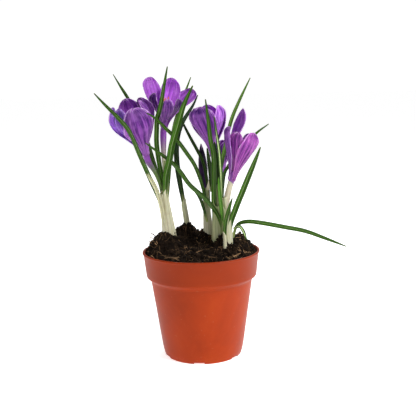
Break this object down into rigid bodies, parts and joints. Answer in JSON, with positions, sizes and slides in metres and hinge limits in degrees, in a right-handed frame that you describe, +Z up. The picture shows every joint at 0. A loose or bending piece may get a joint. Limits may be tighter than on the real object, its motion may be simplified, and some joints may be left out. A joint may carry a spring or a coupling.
{
  "type": "potted crocus",
  "caption": "Flowering crocus clump in a round plastic nursery pot full of compost, with open purple flowers, a closed bud and narrow striped leaves.",
  "frame": {"origin": "centre of the pot's underside, where it rests", "axes": "+Z up along the pot's axis, -Y the front, +X to the right, the way the long arching leaf points"},
  "size_m": [0.1783, 0.09, 0.2201],
  "materials": {
    "pot_plastic": "satin",
    "compost": "matte",
    "sheath_skin": "satin",
    "leaf_green": "satin",
    "flower_tube": "satin",
    "petal": "satin",
    "bud_purple": "satin"
  },
  "bodies": {
    "root": {"arching_leaf": "leaf_green", "back_leaf": "leaf_green", "back_sheath": "sheath_skin", "bud": "bud_purple", "compost": "compost", "crossing_leaf_lower": "leaf_green", "crossing_leaf_upper": "leaf_green", "front_leaf_short": "leaf_green", "left_flower_petal_1": "petal", "left_flower_petal_2": "petal", "left_flower_petal_3": "petal", "left_flower_petal_4": "petal", "left_flower_petal_5": "petal", "left_flower_petal_6": "petal", "left_flower_tube": "flower_tube", "left_leaf_behind_flower": "leaf_green", "left_leaf_broad": "leaf_green", "left_leaf_long": "leaf_green", "left_leaf_rear": "leaf_green", "left_leaf_upright": "leaf_green", "left_sheath": "sheath_skin", "middle_flower_petal_1": "petal", "middle_flower_petal_2": "petal", "middle_flower_petal_3": "petal", "middle_flower_petal_4": "petal", "middle_flower_petal_5": "petal", "middle_flower_petal_6": "petal", "middle_flower_tube": "flower_tube", "middle_leaf_broad": "leaf_green", "middle_leaf_slender": "leaf_green", "middle_leaf_striped": "leaf_green", "middle_sheath": "sheath_skin", "pointed_sheath": "sheath_skin", "pot": "pot_plastic", "rear_flower_petal_1": "petal", "rear_flower_petal_2": "petal", "rear_flower_petal_3": "petal", "rear_flower_petal_4": "petal", "rear_flower_petal_5": "petal", "rear_flower_petal_6": "petal", "rear_flower_tube": "flower_tube", "right_flower_petal_1": "petal", "right_flower_petal_2": "petal", "right_flower_petal_3": "petal", "right_flower_petal_4": "petal", "right_flower_petal_5": "petal", "right_flower_petal_6": "petal", "right_flower_tube": "flower_tube", "right_leaf_broad": "leaf_green", "right_leaf_rear": "leaf_green", "right_leaf_tall": "leaf_green", "right_sheath": "sheath_skin", "upper_flower_petal_1": "petal", "upper_flower_petal_2": "petal", "upper_flower_petal_3": "petal", "upper_flower_petal_4": "petal", "upper_flower_petal_5": "petal", "upper_flower_petal_6": "petal", "upper_flower_tube": "flower_tube"}
  },
  "joints": []
}
